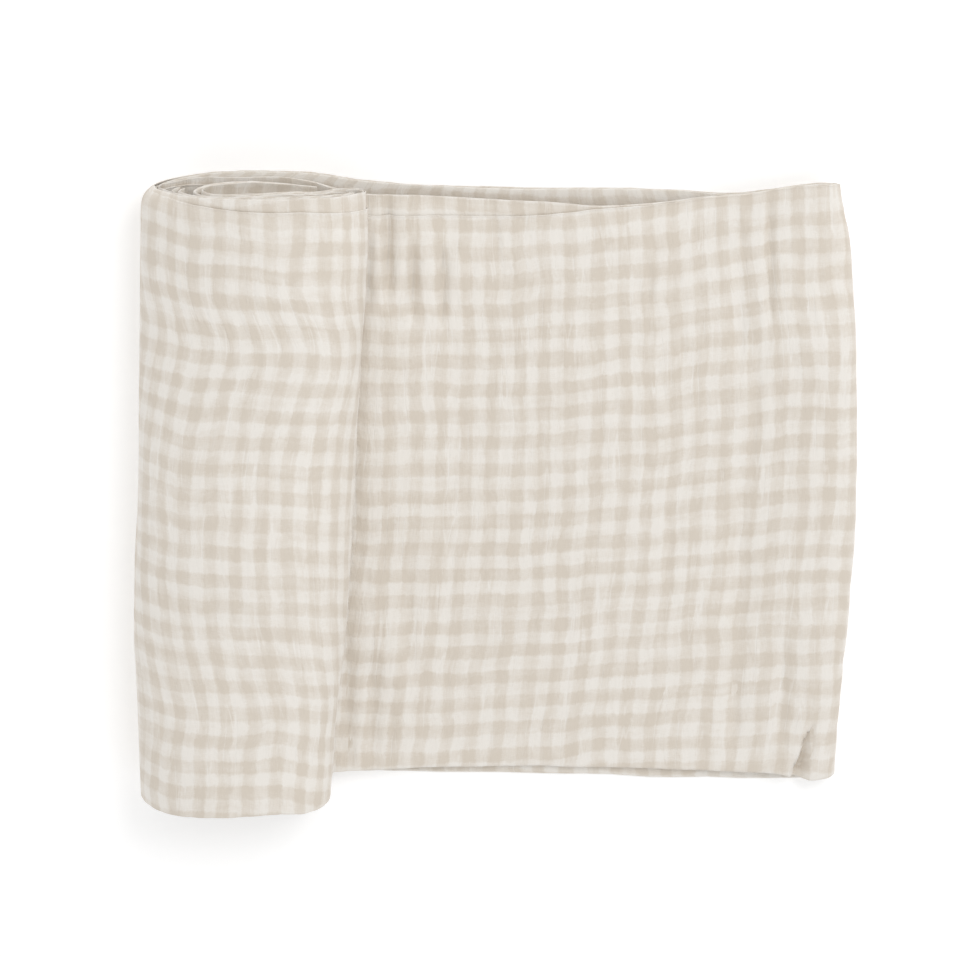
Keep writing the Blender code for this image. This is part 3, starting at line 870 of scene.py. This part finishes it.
def make_checks_group():
    """How dark one layer is: 0 in a light check, 0.5 in a middle one and 1 in a dark one."""
    tree, given, result = new_group(
        "gingham checks",
        {
            "Place": ("NodeSocketVector", None),
            "Check along": ("NodeSocketFloat", CHECK_ALONG * MM),
            "Check across": ("NodeSocketFloat", CHECK_ACROSS * MM),
            "Sharpness": ("NodeSocketFloat", CHECK_SHARPNESS),
        },
        {"Dark": "NodeSocketFloat"},
    )
    split = add_node(tree, "ShaderNodeSeparateXYZ", {"Vector": given["Place"]})
    stripes = []
    for axis, size, wave in (("X", "Check along", "COSINE"), ("Y", "Check across", "SINE")):
        turns = maths(tree, "DIVIDE", split.outputs[axis], given[size])
        angle = maths(tree, "MULTIPLY", turns, 2 * math.pi)
        steep = maths(tree, "MULTIPLY", maths(tree, wave, angle), given["Sharpness"])
        half = maths(tree, "MULTIPLY", steep, 0.5)
        stripes.append(maths(tree, "ADD", half, 0.5, clamp=True))
    both = maths(tree, "ADD", stripes[0], stripes[1])
    tree.links.new(maths(tree, "MULTIPLY", both, 0.5), result["Dark"])
    return tree


checks_group = make_checks_group()
print("node group", checks_group.name, "has", len(checks_group.nodes), "nodes")


# %% Two layers of gauze
# The lumps of each noise, in metres along and across the cloth, and how far or how much it tells
SLOW_BENDS, SLOW_PUSH = (0.035, 0.035), 0.0045
THREAD_ENDS, THREAD_PUSH = (0.001, 0.001), 0.0011
LAYER_SLIPS, LAYER_PUSH = (0.03, 0.05), 0.016
ROW_STEPS, ROW_PUSH = (0.0034, 0.03), 0.0015
COLUMN_STEPS, COLUMN_PUSH = (0.03, 0.006), 0.0013
SHOW_THROUGH = 0.25
DYED_ROWS, DYED_COLUMNS, DYED_SHARE = (0.05, 0.006), (0.006, 0.05), 0.55
YARN_ALONG, YARN_ACROSS, YARN_SHARE = (0.0035, 0.00045), (0.00045, 0.0035), 0.4
RIDGE_LINES, RIDGE_WIDTH = (0.0055, 0.07), 0.04
PINCH_LINES, PINCH_WIDTH, PINCH_SHARE = (0.006, 0.03), 0.05, 0.4
PINCH_ASIDE = (0.37, 0.61, 0)  # so that the pinches don't follow the ridges
LINE_PATCHES, LINE_BREAKS = (1.7, 0.5), 7.0  # as shares of a line's own lumps
# how strongly the thin wrinkles are painted in: a painted highlight on raised ones, painted shade
# in pinched ones
WRINKLE_PAINTED_LIGHT = 0.4
RELIEF_LUMPS, CRINKLE_RELIEF, WRINKLE_RELIEF, YARN_RELIEF = (0.0024, 0.011), 0.8, 0.2, 0.15


def stretched_noise(tree, place, size_along, size_across, detail=1.0):
    """A noise whose lumps are this many metres along and across the cloth."""
    scale = (1 / size_along, 1 / size_across, 1)
    mapped = add_node(tree, "ShaderNodeMapping", {"Vector": place, "Scale": scale})
    inputs = {"Vector": mapped.outputs[0], "Scale": 1.0, "Detail": detail}
    return add_node(tree, "ShaderNodeTexNoise", inputs, noise_dimensions="2D")


def nudged(tree, place, size_along, size_across, amount):
    """The place, pushed about smoothly by up to this many metres."""
    pushes = stretched_noise(tree, place, size_along, size_across).outputs["Color"]
    pushes = vector_maths(tree, "SUBTRACT", pushes, (0.5, 0.5, 0.5))
    return vector_maths(tree, "ADD", place, vector_maths(tree, "SCALE", pushes, amount))


def centred(tree, value):
    return maths(tree, "SUBTRACT", value, 0.5)


def stepped(tree, place):
    """The place with its stripes out of step from crinkle to crinkle, as gathers leave them."""
    row_push = stretched_noise(tree, place, *ROW_STEPS).outputs["Fac"]
    column_push = stretched_noise(tree, place, *COLUMN_STEPS).outputs["Fac"]
    inputs = {
        "X": maths(tree, "MULTIPLY", centred(tree, column_push), COLUMN_PUSH),
        "Y": maths(tree, "MULTIPLY", centred(tree, row_push), ROW_PUSH),
    }
    push = add_node(tree, "ShaderNodeCombineXYZ", inputs).outputs[0]
    return vector_maths(tree, "ADD", place, push)


def thin_lines(tree, place, size_along, size_across, width):
    """1 on thin broken lines that run mostly across the band, and 0 elsewhere."""
    field = stretched_noise(tree, place, size_along, size_across).outputs["Fac"]
    off_line = maths(tree, "ABSOLUTE", centred(tree, field))
    line = maths(tree, "SUBTRACT", 1.0, maths(tree, "DIVIDE", off_line, width), clamp=True)
    longer, shorter = LINE_PATCHES
    patches = stretched_noise(tree, place, size_along * longer, size_across * shorter)
    patches = centred(tree, patches.outputs["Fac"])
    broken = maths(tree, "MULTIPLY", patches, LINE_BREAKS, clamp=True)
    return maths(tree, "MULTIPLY", line, broken)


def make_gauze_group():
    """Colour and relief of crinkled double gauze, from its place on the cloth."""
    tree, given, result = new_group(
        "double gauze",
        {
            "Place": ("NodeSocketVector", None),
            "Light": ("NodeSocketColor", (0.8, 0.8, 0.8, 1)),
            "Middle": ("NodeSocketColor", (0.6, 0.6, 0.6, 1)),
            "Dark": ("NodeSocketColor", (0.4, 0.4, 0.4, 1)),
            "Show-through": ("NodeSocketFloat", SHOW_THROUGH),
        },
        {"Color": "NodeSocketColor", "Height": "NodeSocketFloat"},
    )
    # The stripes wander slowly, and in steps from crinkle to crinkle
    place = nudged(tree, given["Place"], *SLOW_BENDS, SLOW_PUSH)
    place = stepped(tree, place)
    ragged = nudged(tree, place, *THREAD_ENDS, THREAD_PUSH)
    front = add_node(tree, "ShaderNodeGroup", node_tree=checks_group)
    tree.links.new(ragged, front.inputs["Place"])
    # The second layer lies a few millimetres out of step
    behind = nudged(tree, ragged, *LAYER_SLIPS, LAYER_PUSH)
    back = add_node(tree, "ShaderNodeGroup", node_tree=checks_group)
    tree.links.new(behind, back.inputs["Place"])
    difference = maths(tree, "SUBTRACT", back.outputs[0], front.outputs[0])
    shown = maths(tree, "MULTIPLY", difference, given["Show-through"])
    dark = maths(tree, "ADD", front.outputs[0], shown)
    # No two stripes took the dye alike
    dyed_rows = centred(tree, stretched_noise(tree, place, *DYED_ROWS).outputs["Fac"])
    dyed_columns = centred(tree, stretched_noise(tree, place, *DYED_COLUMNS).outputs["Fac"])
    dyed = maths(tree, "MULTIPLY", maths(tree, "ADD", dyed_rows, dyed_columns), DYED_SHARE)
    dark = maths(tree, "ADD", dark, dyed)
    # Yarn: short streaks both ways, in colour and in relief
    yarn_along = stretched_noise(tree, place, *YARN_ALONG, detail=2).outputs["Fac"]
    yarn_across = stretched_noise(tree, place, *YARN_ACROSS, detail=2).outputs["Fac"]
    yarn = maths(tree, "ADD", centred(tree, yarn_along), centred(tree, yarn_across))
    dark = maths(tree, "ADD", dark, maths(tree, "MULTIPLY", yarn, YARN_SHARE))
    # Thin wrinkles: raised and pinched ones in the relief, and as painted highlight and painted
    # shade in the colour
    ridges = thin_lines(tree, given["Place"], *RIDGE_LINES, RIDGE_WIDTH)
    aside = vector_maths(tree, "ADD", place, PINCH_ASIDE)
    pinches = thin_lines(tree, aside, *PINCH_LINES, PINCH_WIDTH)
    wrinkles = maths(tree, "SUBTRACT", ridges, maths(tree, "MULTIPLY", pinches, PINCH_SHARE))
    painted_wrinkle_light = maths(tree, "MULTIPLY", wrinkles, WRINKLE_PAINTED_LIGHT)
    dark = maths(tree, "SUBTRACT", dark, painted_wrinkle_light, clamp=True)
    low = maths(tree, "MULTIPLY", dark, 2.0, clamp=True)
    high = maths(tree, "SUBTRACT", maths(tree, "MULTIPLY", dark, 2.0), 1.0, clamp=True)
    colour = colour_mix(tree, low, given["Light"], given["Middle"])
    colour = colour_mix(tree, high, colour, given["Dark"])
    tree.links.new(colour, result["Color"])
    # Relief: small crinkles along the roll, the thin wrinkles and the yarn
    crinkles = stretched_noise(tree, place, *RELIEF_LUMPS, detail=2).outputs["Fac"]
    relief = maths(tree, "MULTIPLY", centred(tree, crinkles), CRINKLE_RELIEF)
    relief = maths(tree, "ADD", relief, maths(tree, "MULTIPLY", wrinkles, WRINKLE_RELIEF))
    relief = maths(tree, "ADD", relief, maths(tree, "MULTIPLY", yarn, YARN_RELIEF))
    tree.links.new(relief, result["Height"])
    return tree


gauze_group = make_gauze_group()
print("node group", gauze_group.name, "has", len(gauze_group.nodes), "nodes")

# %% The blanket's material
LIGHT_CHECK = (0.802, 0.767, 0.716, 1)
MIDDLE_CHECK = (0.729, 0.677, 0.609, 1)
DARK_CHECK = (0.652, 0.588, 0.508, 1)
FINISH = {
    "Roughness": 0.92,
    "Specular IOR Level": 0.25,
    "Sheen Weight": 0.18,
    "Sheen Roughness": 0.5,
}
BUMP_STRENGTH, BUMP_DISTANCE = 0.7, 0.0006


def make_cotton():
    material = bpy.data.materials.new("gingham double gauze")
    material.use_nodes = True
    tree = material.node_tree
    shader = tree.nodes["Principled BSDF"]
    for name, value in FINISH.items():
        shader.inputs[name].default_value = value
    place = add_node(tree, "ShaderNodeUVMap", uv_map="cloth")
    gauze = add_node(tree, "ShaderNodeGroup", node_tree=gauze_group)
    tree.links.new(place.outputs[0], gauze.inputs["Place"])
    gauze.inputs["Light"].default_value = LIGHT_CHECK
    gauze.inputs["Middle"].default_value = MIDDLE_CHECK
    gauze.inputs["Dark"].default_value = DARK_CHECK
    inputs = {"Strength": BUMP_STRENGTH, "Distance": BUMP_DISTANCE}
    bump = add_node(tree, "ShaderNodeBump", inputs)
    tree.links.new(gauze.outputs["Height"], bump.inputs["Height"])
    tree.links.new(bump.outputs[0], shader.inputs["Normal"])
    tree.links.new(gauze.outputs["Color"], shader.inputs["Base Color"])
    return material


blanket.data.materials.append(make_cotton())
print("the blanket's finish is", blanket.data.materials[0].name)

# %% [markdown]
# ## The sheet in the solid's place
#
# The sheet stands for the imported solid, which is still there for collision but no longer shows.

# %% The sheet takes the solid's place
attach(blanket, "root")
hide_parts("blanket")
